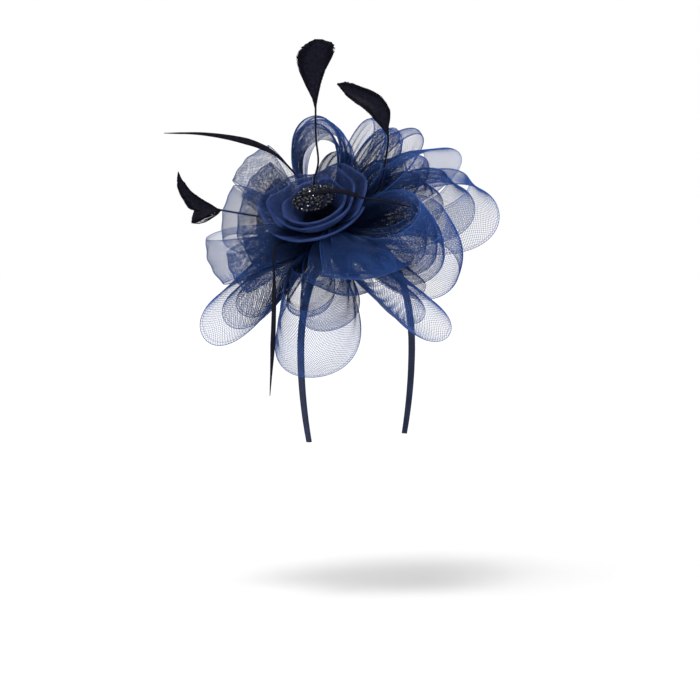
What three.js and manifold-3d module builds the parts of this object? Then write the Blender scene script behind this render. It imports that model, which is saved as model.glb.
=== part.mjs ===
// Feather fascinator: crin ribbon loops round a crin rose, with beads and stripped feathers, on a headband.
// Millimetres, +Z up. The wearer faces -Y. The origin is the underside of the headband at its crown.

import * as THREE from "three";
import { mergeVertices } from "three/addons/utils/BufferGeometryUtils.js";
import Module from "manifold-3d";

const wasm = await Module();
wasm.setup();

// Clearance between a piece and what carries it
const SEAT_GAP = 0.3;

// Headband
const BAND_HALF_WIDTH = 70;
const BAND_CROWN_DEPTH = 92;
const BAND_LEG_LENGTH = 74;
const BAND_TIP_TUCK = 10;
const BAND_WIDTH = 7.5;
const BAND_THICKNESS = 2.4;
const BAND_TIP_SHARE = 0.75;
const BAND_BEND_SHARE = 0.62;
const BAND_EDGE_SHARE = 0.35;
const BAND_STEPS = 22;

// Base: a hidden spool under the flower, carried on the headband
const BASE_BAND_ANGLE = 29;
const BASE_DISC_RADIUS = 17;
const BASE_DISC_THICKNESS = 2;
const SPOOL_RADIUS = 14;
const SPOOL_HEIGHT = 30;
const SPOOL_PLATE_RADIUS = 22;
const SPOOL_PLATE_THICKNESS = 2;
const SPOOL_SIDES = 28;

// Lean of the flower from upright, in degrees, out to the wearer's right and forward, and the turn of
// its u axis
const FLOWER_LEAN_OUT = 42.5;
const FLOWER_LEAN_FORWARD = 12.7;
const FLOWER_TURN = -50;

// Crin ribbon loops
const CRIN_WALL = 1;
const FLOWER_RADIUS = 125;
const LOOP_ROOT_WIDTH = 5;
const LOOP_ROOT_GAP = 3;
const LOOP_PUFF = 0.1;
const LOOP_STEPS = 26;
const LOOP_STRIPS = 2;

// One row per loop. root is the height of its root as a share of the spool's height, and gather how far
// its fullness lies towards the tip. Each selvage has the turn and lift of the loop in degrees, its
// reach and half width as shares of the flower's radius, and the roll of its plane in degrees.
const LOOPS = [
  { name: "crin_loop_crown", root: 0.42, gather: 2,
    front: { turn: 85, lift: 44, reach: 0.64, belly: 0.155, roll: 0 },
    back: { turn: 86, lift: 30, reach: 0.70, belly: 0.155, roll: 0 } },
  { name: "crin_loop_crown_rear", root: 0.18, gather: 2,
    front: { turn: 92, lift: 14, reach: 0.84, belly: 0.16, roll: 0 },
    back: { turn: 90, lift: -1, reach: 1.06, belly: 0.16, roll: 0 } },
  { name: "crin_loop_left_upper", root: 0.29, gather: 1.2,
    front: { turn: 115, lift: 30, reach: 0.62, belly: 0.107, roll: 70 },
    back: { turn: 143, lift: 25, reach: 0.71, belly: 0.117, roll: 70 } },
  { name: "crin_loop_left_middle", root: 0.33, gather: 1.1,
    front: { turn: 151, lift: 28, reach: 0.56, belly: 0.106, roll: 70 },
    back: { turn: 182, lift: 20, reach: 0.59, belly: 0.125, roll: 76 } },
  { name: "crin_loop_left_lower", root: 0.57, gather: 1.1,
    front: { turn: -164, lift: 20, reach: 0.66, belly: 0.132, roll: 55 },
    back: { turn: -145, lift: 15, reach: 0.68, belly: 0.141, roll: 43 } },
  { name: "crin_loop_low_left", root: 0.20, gather: 4,
    front: { turn: -138, lift: 6, reach: 0.47, belly: 0.12, roll: 0 },
    back: { turn: -160, lift: -17, reach: 0.89, belly: 0.20, roll: -10 } },
  { name: "crin_loop_bottom", root: 0.28, gather: 2,
    front: { turn: -98, lift: -4, reach: 0.65, belly: 0.18, roll: 0 },
    back: { turn: -101, lift: -20, reach: 0.89, belly: 0.28, roll: 0 } },
  { name: "crin_loop_tongue", root: 0.61, gather: 1.3,
    front: { turn: -87, lift: 13, reach: 0.58, belly: 0.089, roll: 76 },
    back: { turn: -46, lift: 12, reach: 0.68, belly: 0.084, roll: 78 } },
  { name: "crin_loop_low_right", root: 0.22, gather: 4,
    front: { turn: -59, lift: 0, reach: 0.61, belly: 0.11, roll: 0 },
    back: { turn: -44, lift: -25, reach: 0.94, belly: 0.13, roll: 0 } },
  { name: "crin_loop_right_lower", root: 0.50, gather: 2,
    front: { turn: -22, lift: 2, reach: 0.79, belly: 0.20, roll: 15 },
    back: { turn: -15, lift: -25, reach: 0.79, belly: 0.22, roll: 15 } },
  { name: "crin_loop_right", root: 0.20, gather: 3,
    front: { turn: 12, lift: 0, reach: 0.88, belly: 0.14, roll: 32 },
    back: { turn: 21, lift: -18, reach: 1.09, belly: 0.24, roll: 36 } },
  { name: "crin_loop_right_rear", root: 0.18, gather: 2,
    front: { turn: 45, lift: -4, reach: 0.81, belly: 0.11, roll: 20 },
    back: { turn: 50, lift: -12, reach: 1.19, belly: 0.16, roll: 20 } },
  { name: "crin_loop_right_upper", root: 0.42, gather: 2,
    front: { turn: 11, lift: 25, reach: 0.66, belly: 0.09, roll: 0 },
    back: { turn: 33, lift: 7, reach: 0.72, belly: 0.08, roll: 0 } },
  { name: "crin_loop_top_right", root: 0.42, gather: 3,
    front: { turn: 39, lift: 19, reach: 0.69, belly: 0.10, roll: 0 },
    back: { turn: 51, lift: 7, reach: 0.93, belly: 0.11, roll: 0 } },
  { name: "crin_loop_top", root: 0.34, gather: 2.5,
    front: { turn: 59, lift: 22, reach: 0.72, belly: 0.08, roll: 0 },
    back: { turn: 68, lift: 6, reach: 0.91, belly: 0.09, roll: 0 } },
];

// Crin rose
const ROSE_WALL = 1;
const ROSE_STEPS = 34;
const ROSE_STRIPS = 3;
const ROSE_TURNS = 1.06;
const ROSE_RADIUS = 42;
const ROSE_HEIGHT = 18;
const ROSE_CURL = 0.5;

// One row per rolled cup: radius of its foot and of its lip, height of its lip and growth of its radius
// over one turn, as shares of the rose's radius and height, and the turn where the roll starts.
const ROSE_CUPS = [
  { name: "rose_inner", foot: 0.32, lip: 0.58, height: 0.95, growth: 0.06, start: 60 },
  { name: "rose_middle", foot: 0.395, lip: 0.78, height: 1.0, growth: 0.07, start: 200 },
  { name: "rose_outer", foot: 0.48, lip: 1.0, height: 0.88, growth: 0.08, start: 320 },
];

// Beads at the heart of the rose. Their pitch and their inset from the dome's edge are shares of a
// bead's diameter, and each ring is turned from the last by an angle in degrees.
const BEAD_DIAMETER = 4.4;
const BEAD_SIDES = 10;
const BEAD_STACKS = 4;
const BEAD_RINGS = 3;
const BEAD_RING_TURN = 23;
const BEAD_PITCH = 1.08;
const BEAD_INSET = 0.3;
const BEAD_DOME_RADIUS = 13;
const BEAD_DOME_RISE = 6;
const BEAD_DOME_SKIRT = 1.5;
const BEAD_DOME_STEPS = 3;
const BEAD_DOME_SIDES = 16;
const BEAD_STEM_RADIUS = 5;
const BEAD_STEM_HEIGHT = 15;
const BEAD_STEM_OFFSET = 3;
const BEAD_DOME_OFFSET = 2;

// Feathers. A quill is slender at its two ends, by a share of its width over a share of its length.
// Its cut end at the spool stands off by a share of its diameter, because it is slanted.
const QUILL_DIAMETER = 1.6;
const QUILL_END_WIDTH = 0.35;
const QUILL_END_REACH = 0.08;
const QUILL_END_SLANT = 0.1;
const QUILL_CUP_INSET = 1.3;
const VANE_THICKNESS = 1.2;
const VANE_SHOULDER = 0.5;
const VANE_FACING_TURN = -76;
const VANE_FACING_LIFT = 42;
const FEATHER_STEPS = 20;
const TALL_PLUME_WIDTH = 33;
const CURVED_PLUME_WIDTH = 17;
const HEART_PLUME_WIDTH = 17;
const LONG_BIOT_WIDTH = 5.5;
const ACROSS_BIOT_WIDTH = 4.2;
const HANGING_BIOT_WIDTH = 4;

// One row per feather. Its root is on the spool's side, at a turn in degrees and a share of the
// spool's height, inside the rose, or behind the rose's lip, on which it rests: rest then holds shares
// of the rose's radius along u and v, and of its height above the lip. route holds shares of the
// flower's radius along u, v and the axis. vane holds the share of the way along, and the shares of the
// width to its left and right.
const FEATHERS = [
  { name: "plume_tall", width: TALL_PLUME_WIDTH, root: "rose",
    route: [[0.05, 0.27, 0.47], [0.07, 0.36, 0.60], [0.11, 0.49, 0.76], [0.14, 0.58, 0.87],
      [0.20, 0.75, 1.07]],
    vane: [[0.60, 0, 0], [0.68, 0.09, 0.06], [0.76, 0.28, 0.14], [0.83, 0.43, 0.24],
      [0.89, 0.48, 0.36], [0.95, 0.42, 0.46], [0.98, 0.28, 0.38], [1, 0.06, 0.12]] },
  { name: "plume_curved", width: CURVED_PLUME_WIDTH, root: "spool", turn: 17, height: 0.80,
    route: [[0.38, 0.12, 0.26], [0.44, 0.18, 0.34], [0.48, 0.24, 0.41], [0.52, 0.34, 0.50],
      [0.52, 0.40, 0.56], [0.50, 0.46, 0.63], [0.45, 0.51, 0.68], [0.35, 0.57, 0.73],
      [0.26, 0.62, 0.79]],
    vane: [[0.56, 0, 0], [0.62, 0.24, 0.12], [0.69, 0.48, 0.42], [0.77, 0.50, 0.50],
      [0.85, 0.40, 0.42], [0.92, 0.26, 0.30], [1, 0.04, 0.06]] },
  { name: "plume_heart", width: HEART_PLUME_WIDTH, root: "spool", turn: 158, height: 0.16,
    route: [[-0.31, 0.22, 0.11], [-0.50, 0.28, 0.15], [-0.72, 0.33, 0.22], [-0.81, 0.35, 0.26],
      [-0.88, 0.40, 0.33], [-0.91, 0.46, 0.40], [-0.91, 0.50, 0.45]],
    vane: [[0.63, 0, 0], [0.70, 0.46, 0.22], [0.75, 0.80, 0.30], [0.79, 0.50, 0.30],
      [0.84, 0.32, 0.26], [0.92, 0.22, 0.20], [1, 0.02, 0.02]] },
  { name: "biot_long", width: LONG_BIOT_WIDTH, root: "spool", turn: 104, height: 0.62,
    route: [[-0.08, 0.30, 0.23], [-0.23, 0.43, 0.47], [-0.32, 0.47, 0.54], [-0.44, 0.48, 0.62],
      [-0.66, 0.50, 0.71], [-0.90, 0.50, 0.78]],
    vane: [[0.30, 0, 0], [0.48, 0.4, 0.4], [0.58, 0.5, 0.5], [0.75, 0.3, 0.3], [1, 0.03, 0.03]] },
  { name: "biot_across", width: ACROSS_BIOT_WIDTH, root: "lip",
    rest: [[1.80, -0.42, -0.6], [1.35, -0.30, -0.2], [1.0, -0.22, 0]],
    route: [[0.18, -0.04, 0.46], [-0.12, -0.016, 0.47]],
    vane: [[0.30, 0, 0], [0.5, 0.5, 0.5], [0.75, 0.42, 0.42], [1, 0.03, 0.03]] },
  { name: "biot_hanging", width: HANGING_BIOT_WIDTH, root: "spool", turn: -123, height: 0.72,
    route: [[-0.26, -0.30, 0.33], [-0.29, -0.48, 0.24], [-0.32, -0.63, 0.13], [-0.36, -0.81, 0],
      [-0.44, -1.04, -0.23]],
    vane: [[0.30, 0, 0], [0.5, 0.42, 0.42], [0.75, 0.5, 0.5], [1, 0.03, 0.03]] },
];

// Materials
const CRIN = { color: "#2c3c6e", roughness: 0.6, metalness: 0 };
const SATIN = { color: "#1a2038", roughness: 0.45, metalness: 0 };
const FEATHER = { color: "#15151f", roughness: 0.7, metalness: 0 };
const BEADS = { color: "#0c0d14", roughness: 0.15, metalness: 0 };

const radians = THREE.MathUtils.degToRad;
const fascinator = new THREE.Group();

// Adds a closed body to a parent group as a named mesh of its own material
function addMesh(parent, name, geometry, finish) {
  const mesh = new THREE.Mesh(geometry, new THREE.MeshStandardMaterial(finish));
  mesh.name = name;
  parent.add(mesh);
  return mesh;
}

// Indexed geometry from a list of points and a list of faces
function bodyFrom(points, faces) {
  const geometry = new THREE.BufferGeometry().setFromPoints(points);
  geometry.setIndex(faces);
  geometry.computeVertexNormals();
  return geometry;
}

// Closed body through rings of points, each with the same number of points, with flat ends
function loft(rings) {
  const sides = rings[0].length;
  const points = rings.flat();
  const faces = [];
  for (let ring = 0; ring + 1 < rings.length; ring += 1) {
    for (let side = 0; side < sides; side += 1) {
      const a = ring * sides + side;
      const b = ring * sides + ((side + 1) % sides);
      faces.push(a, b, b + sides, a, b + sides, a + sides);
    }
  }
  const last = (rings.length - 1) * sides;
  for (let side = 1; side + 1 < sides; side += 1) {
    faces.push(0, side + 1, side, last, last + side, last + side + 1);
  }
  return bodyFrom(points, faces);
}

// Closed wall of even thickness on both sides of a grid of points, given as rows along its length
function wall(rows, thickness) {
  const across = rows[0].length;
  const last = rows.length - 1;
  const upper = [];
  const lower = [];
  rows.forEach((row, i) => {
    row.forEach((point, j) => {
      const along = rows[Math.min(i + 1, last)][j].clone().sub(rows[Math.max(i - 1, 0)][j]);
      const over = row[Math.min(j + 1, across - 1)].clone().sub(row[Math.max(j - 1, 0)]);
      const half = along.cross(over).normalize().multiplyScalar(thickness / 2);
      upper.push(point.clone().add(half));
      lower.push(point.clone().sub(half));
    });
  });
  const count = upper.length;
  const faces = [];
  const quad = (a, b, c, d) => faces.push(a, b, c, a, c, d);
  for (let i = 0; i < last; i += 1) {
    for (let j = 0; j + 1 < across; j += 1) {
      const a = i * across + j;
      quad(a, a + across, a + across + 1, a + 1);
      quad(count + a, count + a + 1, count + a + across + 1, count + a + across);
    }
    const start = i * across;
    const end = start + across - 1;
    quad(start, count + start, count + start + across, start + across);
    quad(end, end + across, count + end + across, count + end);
  }
  for (let j = 0; j + 1 < across; j += 1) {
    const tail = last * across + j;
    quad(j, j + 1, count + j + 1, count + j);
    quad(tail, count + tail, count + tail + 1, tail + 1);
  }
  return bodyFrom(upper.concat(lower), faces);
}

// Solid for joining, from a closed geometry
function solidOf(geometry) {
  const plain = geometry.clone();
  plain.deleteAttribute("normal");
  plain.deleteAttribute("uv");
  const merged = mergeVertices(plain, 1e-4);
  return new wasm.Manifold(new wasm.Mesh({
    numProp: 3,
    vertProperties: new Float32Array(merged.attributes.position.array),
    triVerts: new Uint32Array(merged.index.array),
  }));
}

// Geometry of a joined solid
function geometryOf(solid) {
  const mesh = solid.getMesh();
  const geometry = new THREE.BufferGeometry();
  geometry.setAttribute("position", new THREE.BufferAttribute(mesh.vertProperties, 3));
  geometry.setIndex(new THREE.BufferAttribute(mesh.triVerts, 1));
  geometry.computeVertexNormals();
  return geometry;
}

// Headband: an arch that is half an ellipse over the crown, with legs that tuck in to their tips

// Point of the arch's inner face, at a share of the way from the crown to a tip; side is 1 or -1
function bandPoint(share, side) {
  if (share < BAND_BEND_SHARE) {
    const angle = (share / BAND_BEND_SHARE) * (Math.PI / 2);
    return new THREE.Vector3(
      side * BAND_HALF_WIDTH * Math.sin(angle), 0, -BAND_CROWN_DEPTH * (1 - Math.cos(angle)));
  }
  const leg = (share - BAND_BEND_SHARE) / (1 - BAND_BEND_SHARE);
  return new THREE.Vector3(
    side * (BAND_HALF_WIDTH - BAND_TIP_TUCK * leg * leg), 0, -BAND_CROWN_DEPTH - BAND_LEG_LENGTH * leg);
}

// Outward normal of the arch at a share
function bandNormal(share, side) {
  const step = 0.002;
  const tangent = bandPoint(Math.min(share + step, 1), side).sub(bandPoint(Math.max(share - step, 0), side));
  return new THREE.Vector3(-tangent.z * side, 0, tangent.x * side).normalize();
}

function headbandGeometry() {
  const rings = [];
  for (let i = -BAND_STEPS; i <= BAND_STEPS; i += 1) {
    const share = Math.abs(i) / BAND_STEPS;
    const side = i < 0 ? -1 : 1;
    const inner = bandPoint(share, side);
    const outward = share === 0 ? new THREE.Vector3(0, 0, 1) : bandNormal(share, side);
    const taper = 1 - (1 - BAND_TIP_SHARE) * share ** 4;
    const half = (BAND_WIDTH / 2) * taper;
    const shoulder = BAND_THICKNESS * BAND_EDGE_SHARE;
    const place = (y, height) => inner.clone().addScaledVector(outward, height).setY(y);
    rings.push([
      place(-half + shoulder, 0),
      place(half - shoulder, 0),
      place(half, BAND_THICKNESS / 2),
      place(half - shoulder, BAND_THICKNESS),
      place(-half + shoulder, BAND_THICKNESS),
      place(-half, BAND_THICKNESS / 2),
    ]);
  }
  return loft(rings);
}

// The flower's own frame: its axis leans out and forward, u runs to the wearer's front right
function flowerFrame() {
  const axis = new THREE.Vector3(
    -Math.sin(radians(FLOWER_LEAN_OUT)) * Math.cos(radians(FLOWER_LEAN_FORWARD)),
    -Math.sin(radians(FLOWER_LEAN_FORWARD)),
    Math.cos(radians(FLOWER_LEAN_OUT)) * Math.cos(radians(FLOWER_LEAN_FORWARD)));
  const u = new THREE.Vector3(Math.cos(radians(FLOWER_TURN)), Math.sin(radians(FLOWER_TURN)), 0);
  u.addScaledVector(axis, -u.dot(axis)).normalize();
  const v = axis.clone().cross(u);
  return new THREE.Matrix4().makeBasis(u, v, axis);
}

const flower = new THREE.Group();
flower.quaternion.setFromRotationMatrix(flowerFrame());
fascinator.add(flower);

addMesh(fascinator, "headband", headbandGeometry(), SATIN);

// The spool stands clear of the band's outer face, whose edge is nearest under the forward lean
function placeFlower() {
  const share = (BASE_BAND_ANGLE / 90) * BAND_BEND_SHARE;
  const seat = bandPoint(share, -1).addScaledVector(bandNormal(share, -1), BAND_THICKNESS);
  const axis = new THREE.Vector3(0, 0, 1).applyQuaternion(flower.quaternion);
  const edge = Math.abs(axis.y) * (BAND_WIDTH / 2);
  flower.position.copy(seat).addScaledVector(axis, edge + SEAT_GAP);
}
placeFlower();

function baseGeometry() {
  const profile = [
    [0, 0],
    [BASE_DISC_RADIUS, 0],
    [BASE_DISC_RADIUS, BASE_DISC_THICKNESS],
    [SPOOL_RADIUS, BASE_DISC_THICKNESS],
    [SPOOL_RADIUS, SPOOL_HEIGHT - SPOOL_PLATE_THICKNESS],
    [SPOOL_PLATE_RADIUS, SPOOL_HEIGHT - SPOOL_PLATE_THICKNESS],
    [SPOOL_PLATE_RADIUS, SPOOL_HEIGHT],
    [0, SPOOL_HEIGHT],
  ].map(([radius, height]) => new THREE.Vector2(radius, height));
  return new THREE.LatheGeometry(profile, SPOOL_SIDES).rotateX(Math.PI / 2);
}
addMesh(flower, "base", baseGeometry(), SATIN);

// Directions of a loop that turns round the flower's axis and lifts along it
function loopAxes({ turn, lift, roll }) {
  const t = radians(turn);
  const l = radians(lift);
  const ahead = new THREE.Vector3(Math.cos(l) * Math.cos(t), Math.cos(l) * Math.sin(t), Math.sin(l));
  const level = new THREE.Vector3(-Math.sin(t), Math.cos(t), 0);
  const above = ahead.clone().cross(level);
  const side = level.multiplyScalar(Math.cos(radians(roll))).addScaledVector(above, Math.sin(radians(roll)));
  return { ahead, side };
}

// Point of one selvage: a teardrop from the root, out to the tip and back
function selvagePoint(root, selvage, gather, share) {
  const { ahead, side } = loopAxes(selvage);
  const x = Math.PI * share;
  const widest = (gather + 1) / (gather + 2);
  const peak = 2 * Math.sqrt(1 - widest) * Math.sqrt(widest) ** (gather + 1);
  const out = Math.sin(x) ** 2;
  const apart = (Math.sin(2 * x) * Math.sin(x) ** gather) / peak;
  return root.clone()
    .addScaledVector(ahead, FLOWER_RADIUS * selvage.reach * out)
    .addScaledVector(side, -FLOWER_RADIUS * selvage.belly * apart);
}

function loopGeometry(loop) {
  const middle = radians((loop.front.turn + loop.back.turn) / 2);
  const tips = loopAxes(loop.back).ahead.multiplyScalar(FLOWER_RADIUS * loop.back.reach)
    .addScaledVector(loopAxes(loop.front).ahead, -FLOWER_RADIUS * loop.front.reach);
  const rows = [];
  for (let i = 0; i <= LOOP_STEPS; i += 1) {
    const share = i / LOOP_STEPS;
    const turn = middle + (share - 0.5) * (LOOP_ROOT_GAP / SPOOL_RADIUS);
    const radius = SPOOL_RADIUS + SEAT_GAP + CRIN_WALL / 2;
    const root = new THREE.Vector3(
      radius * Math.cos(turn), radius * Math.sin(turn), loop.root * SPOOL_HEIGHT);
    const front = selvagePoint(root, loop.front, loop.gather, share);
    const back = selvagePoint(root, loop.back, loop.gather, share);
    front.z += LOOP_ROOT_WIDTH / 2;
    back.z -= LOOP_ROOT_WIDTH / 2;
    const spread = LOOP_PUFF * Math.sin(2 * Math.PI * share) ** 2;
    const row = [];
    for (let j = 0; j <= LOOP_STRIPS; j += 1) {
      const across = j / LOOP_STRIPS;
      row.push(front.clone().lerp(back, across).addScaledVector(tips, (across - 0.5) * 2 * spread));
    }
    rows.push(row);
  }
  return wall(rows, CRIN_WALL);
}
for (const loop of LOOPS) {
  addMesh(flower, loop.name, loopGeometry(loop), CRIN);
}

// Rose cup: a strip rolled once round, flaring from its foot to its lip
function cupGeometry(cup) {
  const rows = [];
  for (let i = 0; i <= ROSE_STEPS; i += 1) {
    const share = i / ROSE_STEPS;
    const turn = radians(cup.start) + share * ROSE_TURNS * 2 * Math.PI;
    const row = [];
    for (let j = 0; j <= ROSE_STRIPS; j += 1) {
      const rise = j / ROSE_STRIPS;
      const flare = THREE.MathUtils.lerp(rise, Math.sin(rise * Math.PI / 2), ROSE_CURL);
      const grown = cup.growth * share;
      const radius = ROSE_RADIUS * (cup.foot + (cup.lip - cup.foot) * flare + grown);
      const height = SPOOL_HEIGHT + SEAT_GAP + ROSE_WALL / 2 + ROSE_HEIGHT * cup.height * rise;
      row.push(new THREE.Vector3(radius * Math.cos(turn), radius * Math.sin(turn), height));
    }
    rows.push(row);
  }
  return wall(rows, ROSE_WALL);
}
for (const cup of ROSE_CUPS) {
  addMesh(flower, cup.name, cupGeometry(cup), CRIN);
}

// Beads: rings of beads fused to a dome on a short stem
function beadGeometry() {
  const top = BEAD_STEM_HEIGHT;
  const skirt = top - BEAD_DOME_SKIRT;
  const stem = new THREE.CylinderGeometry(BEAD_STEM_RADIUS, BEAD_STEM_RADIUS, top, BEAD_SIDES)
    .rotateX(Math.PI / 2).translate(0, 0, top / 2);
  const profile = [new THREE.Vector2(0, skirt), new THREE.Vector2(BEAD_DOME_RADIUS, skirt)];
  for (let i = 0; i < BEAD_DOME_STEPS; i += 1) {
    const angle = (i / BEAD_DOME_STEPS) * (Math.PI / 2);
    profile.push(new THREE.Vector2(
      BEAD_DOME_RADIUS * Math.cos(angle), top + BEAD_DOME_RISE * Math.sin(angle)));
  }
  profile.push(new THREE.Vector2(0, top + BEAD_DOME_RISE));
  const dome = new THREE.LatheGeometry(profile, BEAD_DOME_SIDES).rotateX(Math.PI / 2)
    .translate(0, BEAD_DOME_OFFSET, 0);
  let cluster = solidOf(stem).add(solidOf(dome));
  for (let ring = 0; ring <= BEAD_RINGS; ring += 1) {
    const radius = (ring / BEAD_RINGS) * (BEAD_DOME_RADIUS - BEAD_DIAMETER * BEAD_INSET);
    const count = ring === 0 ? 1 : Math.floor((2 * Math.PI * radius) / (BEAD_DIAMETER * BEAD_PITCH));
    const height = top + BEAD_DOME_RISE * Math.sqrt(1 - (radius / BEAD_DOME_RADIUS) ** 2);
    for (let i = 0; i < count; i += 1) {
      const turn = (i / count) * 2 * Math.PI + ring * radians(BEAD_RING_TURN);
      const bead = new THREE.SphereGeometry(BEAD_DIAMETER / 2, BEAD_SIDES, BEAD_STACKS);
      bead.translate(radius * Math.cos(turn), BEAD_DOME_OFFSET + radius * Math.sin(turn), height);
      cluster = cluster.add(solidOf(bead));
    }
  }
  return geometryOf(cluster);
}
const beads = addMesh(flower, "bead_cluster", beadGeometry(), BEADS);
beads.position.set(0, BEAD_STEM_OFFSET, SPOOL_HEIGHT + SEAT_GAP);

// Height of the outer cup's lip above the flower's foot
function outerLipHeight() {
  const outer = ROSE_CUPS.find((cup) => cup.name === "rose_outer");
  return SPOOL_HEIGHT + SEAT_GAP + ROSE_WALL + ROSE_HEIGHT * outer.height;
}

// Points that a feather's route begins with, where it is carried
function featherStart(feather) {
  const quill = QUILL_DIAMETER / 2;
  if (feather.root === "rose") {
    const inner = ROSE_CUPS.find((cup) => cup.name === "rose_inner");
    const inset = ROSE_WALL / 2 + SEAT_GAP + quill;
    return [
      new THREE.Vector3(0, ROSE_RADIUS * inner.foot - inset, SPOOL_HEIGHT + SEAT_GAP * 2),
      new THREE.Vector3(0, ROSE_RADIUS * inner.lip - inset * QUILL_CUP_INSET, SPOOL_HEIGHT + ROSE_HEIGHT),
    ];
  }
  if (feather.root === "lip") {
    const rest = outerLipHeight() + SEAT_GAP + quill;
    return feather.rest.map(([u, v, rise]) => new THREE.Vector3(
      ROSE_RADIUS * u, ROSE_RADIUS * v, rest + ROSE_HEIGHT * rise));
  }
  const radius = SPOOL_RADIUS + SEAT_GAP + QUILL_DIAMETER * QUILL_END_SLANT;
  const turn = radians(feather.turn);
  return [new THREE.Vector3(
    radius * Math.cos(turn), radius * Math.sin(turn), feather.height * SPOOL_HEIGHT)];
}

// Widths of a vane to the left and right at a share of the way along, never less than the quill's
function vaneWidths(feather, share) {
  const rows = [[0, 0, 0], ...feather.vane];
  const next = Math.max(1, rows.findIndex(([along]) => along >= share));
  const [from, to] = [rows[next - 1], rows[next]];
  const blend = (share - from[0]) / (to[0] - from[0]);
  const end = Math.min(1, Math.min(share, 1 - share) / QUILL_END_REACH);
  const quill = (QUILL_DIAMETER / 2) * THREE.MathUtils.lerp(QUILL_END_WIDTH, 1, end);
  return [1, 2].map((side) => Math.max(
    quill, feather.width * THREE.MathUtils.lerp(from[side], to[side], blend)));
}

// Feather: a round quill that spreads into a flat vane facing the viewer's side
function featherGeometry(feather) {
  const points = featherStart(feather);
  for (const [u, v, axis] of feather.route) {
    points.push(new THREE.Vector3(u, v, axis).multiplyScalar(FLOWER_RADIUS));
  }
  const curve = new THREE.CatmullRomCurve3(points, false, "centripetal");
  const { ahead: facing } = loopAxes({ turn: VANE_FACING_TURN, lift: VANE_FACING_LIFT, roll: 0 });
  const rings = [];
  for (let i = 0; i <= FEATHER_STEPS; i += 1) {
    const share = i / FEATHER_STEPS;
    const centre = curve.getPointAt(share);
    const tangent = curve.getTangentAt(share);
    const right = facing.clone().cross(tangent).normalize().negate();
    const over = tangent.clone().cross(right);
    const [toLeft, toRight] = vaneWidths(feather, share);
    const flat = Math.min(1, (toLeft + toRight) / QUILL_DIAMETER - 1);
    const half = THREE.MathUtils.lerp(QUILL_DIAMETER, VANE_THICKNESS, flat) * 0.5;
    const place = (across, up) => centre.clone()
      .addScaledVector(right, across).addScaledVector(over, up);
    rings.push([
      place(toRight, 0),
      place(toRight * VANE_SHOULDER, half),
      place(-toLeft * VANE_SHOULDER, half),
      place(-toLeft, 0),
      place(-toLeft * VANE_SHOULDER, -half),
      place(toRight * VANE_SHOULDER, -half),
    ]);
  }
  return loft(rings);
}
for (const feather of FEATHERS) {
  addMesh(flower, feather.name, featherGeometry(feather), FEATHER);
}

export default fascinator;
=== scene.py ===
"""Feather fascinator: navy crin loops round a crin rose, with beads and trimmed feathers, on a headband.

Metres, +Z up. The wearer faces -Y. The origin is the underside of the headband at its crown.
"""

import math
from collections import namedtuple

import bpy
import numpy as np
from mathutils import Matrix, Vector


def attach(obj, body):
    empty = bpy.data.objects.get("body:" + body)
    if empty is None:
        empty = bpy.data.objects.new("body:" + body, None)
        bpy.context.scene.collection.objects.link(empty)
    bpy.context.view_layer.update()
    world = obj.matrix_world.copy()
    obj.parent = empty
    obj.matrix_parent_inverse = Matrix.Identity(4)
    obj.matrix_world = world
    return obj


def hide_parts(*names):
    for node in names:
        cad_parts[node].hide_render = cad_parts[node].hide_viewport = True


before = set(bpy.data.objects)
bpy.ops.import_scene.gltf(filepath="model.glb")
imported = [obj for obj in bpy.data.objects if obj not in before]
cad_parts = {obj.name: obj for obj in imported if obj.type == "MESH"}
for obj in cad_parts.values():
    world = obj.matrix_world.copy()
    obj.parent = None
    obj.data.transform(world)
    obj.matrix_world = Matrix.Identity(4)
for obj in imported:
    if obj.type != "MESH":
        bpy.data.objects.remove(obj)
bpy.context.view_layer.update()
rng = np.random.default_rng(11)

# Gap between pieces that touch, and the headband, as in the solids. BAND_STEP is the share of it over which
# its slope is taken.
SEAT_GAP = 0.0003
BAND_HALF_WIDTH = 0.070
BAND_CROWN_DEPTH = 0.092
BAND_LEG_LENGTH = 0.074
BAND_TIP_TUCK = 0.010
BAND_WIDTH = 0.0075
BAND_THICKNESS = 0.0024
BAND_BEND_SHARE = 0.62
BAND_STEP = 0.002

# Spool under the flower and lean of the flower, as in the solids
BASE_BAND_ANGLE = 29
SPOOL_RADIUS = 0.014
SPOOL_HEIGHT = 0.030
FLOWER_LEAN_OUT = 42.5
FLOWER_LEAN_FORWARD = 12.7
FLOWER_TURN = -50
FLOWER_RADIUS = 0.125
ROSE_RADIUS = 0.042
ROSE_HEIGHT = 0.018

# Crin braid: its width when flat, radius of its threads and of its corded edges, how far in from an edge
# its rib lies, and the way from the spool to the braid's middle
BRAID_WIDTH = 0.050
THREAD_RADIUS = 0.00014
EDGE_RADIUS = 0.00030
EDGE_RIB_INSET = 0.0022
BRAID_CLEAR = 0.0005

# Pitch of the threads, from the most open braid to the closest
OPEN_PITCH = 0.0023
WIDE_PITCH = 0.0017
THREAD_PITCH = 0.00145
LEFT_PITCH = 0.00135
INNER_PITCH = 0.00125
CLOSE_PITCH = 0.0011

# Knots, the lengths where all threads of a braid bend together: their step, their step at the tip and how
# far from it that reaches, their least way from a thread's end, and the rows over which a bend is summed
KNOT_STEP = 0.0040
KNOT_STEP_AT_TIP = 0.0022
KNOT_REACH = 0.025
KNOT_CLEAR = 0.0005
KNOT_WINDOW = 9

# Loops: height of the gathered root, lowest and highest root on the spool, and how far the fullness moves
# back towards the root
ROOT_WIDTH = 0.022
ROOT_LOWEST = 0.0028
ROOT_HIGHEST = 0.0272
FULLNESS = 0.35

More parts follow.
